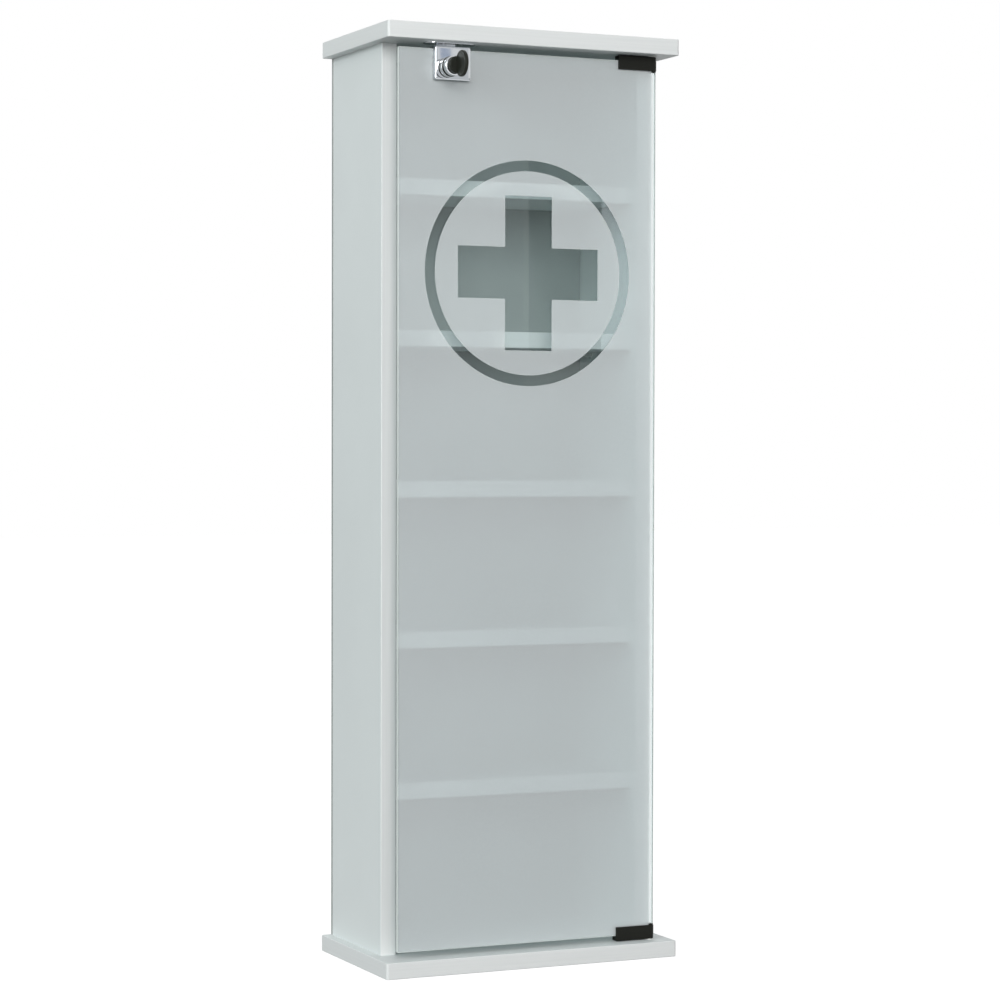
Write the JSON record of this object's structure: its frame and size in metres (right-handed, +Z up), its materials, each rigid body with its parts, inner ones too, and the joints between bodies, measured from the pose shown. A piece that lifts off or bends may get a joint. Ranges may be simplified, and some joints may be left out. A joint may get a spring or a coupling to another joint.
{
  "type": "lockable medicine cabinet",
  "caption": "Tall narrow wall cabinet in white board with shelves, closed by a frosted glass door with a clear ring and cross, pivot clamps and a clamp-on key lock.",
  "frame": {"origin": "middle of the underside of the bottom panel, measured over the panel alone, without the key that stands out in front", "axes": "+X to the right of someone who faces the door, +Y towards the wall, +Z up; the door is shut and unlocked, with the key in"},
  "size_m": [0.313, 0.213, 0.915],
  "materials": {
    "board": "white coated board with a faint grain, satin",
    "hardboard": "white painted hardboard",
    "beech": "plain beech",
    "plated_steel": "bright zinc plated",
    "cast_zinc": "cast zinc alloy, satin",
    "bright_chrome": "polished chrome",
    "black_enamel": "satin black",
    "black_plastic": "black moulded plastic",
    "white_plastic": "white nylon",
    "grey_rubber": "soft grey rubber",
    "clear_glass": "clear float glass with polished edges",
    "frosting": "frosted, like etched glass"
  },
  "bodies": {
    "carcass": {"top_panel": "board", "bottom_panel": "board", "left_side_panel": "board", "right_side_panel": "board", "back_panel": "hardboard", "shelf_1": "board", "shelf_2": "board", "shelf_3": "board", "shelf_4": "board", "shelf_5": "board", "shelf_pins": "plated_steel", "wood_dowels": "beech", "cam_bolts": "plated_steel", "cam_locks": "cast_zinc", "cam_caps": "white_plastic", "back_nails": "plated_steel", "left_hanger": "plated_steel", "right_hanger": "plated_steel", "hanger_screws": "plated_steel", "top_bush": "white_plastic", "bottom_bush": "white_plastic", "strike_plate": "bright_chrome", "strike_screws": "plated_steel", "stop_pad": "grey_rubber"},
    "door": {"glass_door": "clear_glass", "frosted_film": "frosting", "top_clamp": "black_enamel", "bottom_clamp": "black_enamel", "top_pivot_pin": "plated_steel", "bottom_pivot_pin": "plated_steel", "top_clamp_liner": "grey_rubber", "bottom_clamp_liner": "grey_rubber", "clamp_screws": "plated_steel", "lock_case": "bright_chrome", "lock_cover": "plated_steel", "lock_liner": "grey_rubber", "lock_pressure_plate": "plated_steel", "lock_screws": "plated_steel", "lock_barrel": "bright_chrome", "barrel_clip": "plated_steel"},
    "plug": {"lock_plug": "cast_zinc"},
    "bolt": {"lock_bolt": "plated_steel"},
    "key": {"key_blade": "plated_steel", "key_head": "black_plastic"}
  },
  "joints": [
    {"name": "door_hinge", "type": "hinge", "parent": "carcass", "child": "door", "pos_m": [0.13575, -0.0665, 0.4575], "axis": [0, 0, 1], "range_deg": [0, 180]},
    {"name": "key_turn", "type": "hinge", "parent": "door", "child": "plug", "pos_m": [-0.091, -0.0755, 0.8742], "axis": [0, 1, 0], "range_deg": [0, 90]},
    {"name": "bolt_throw", "type": "slide", "parent": "door", "child": "bolt", "axis": [0, 0, 1], "range_m": [0, 0.00552]},
    {"name": "key_withdraw", "type": "slide", "parent": "plug", "child": "key", "axis": [0, -1, 0], "range_m": [0, 0.028]}
  ],
  "couplings": [
    {"joint": "bolt_throw", "follows": "key_turn", "m_per_rad": 0.003511}
  ]
}
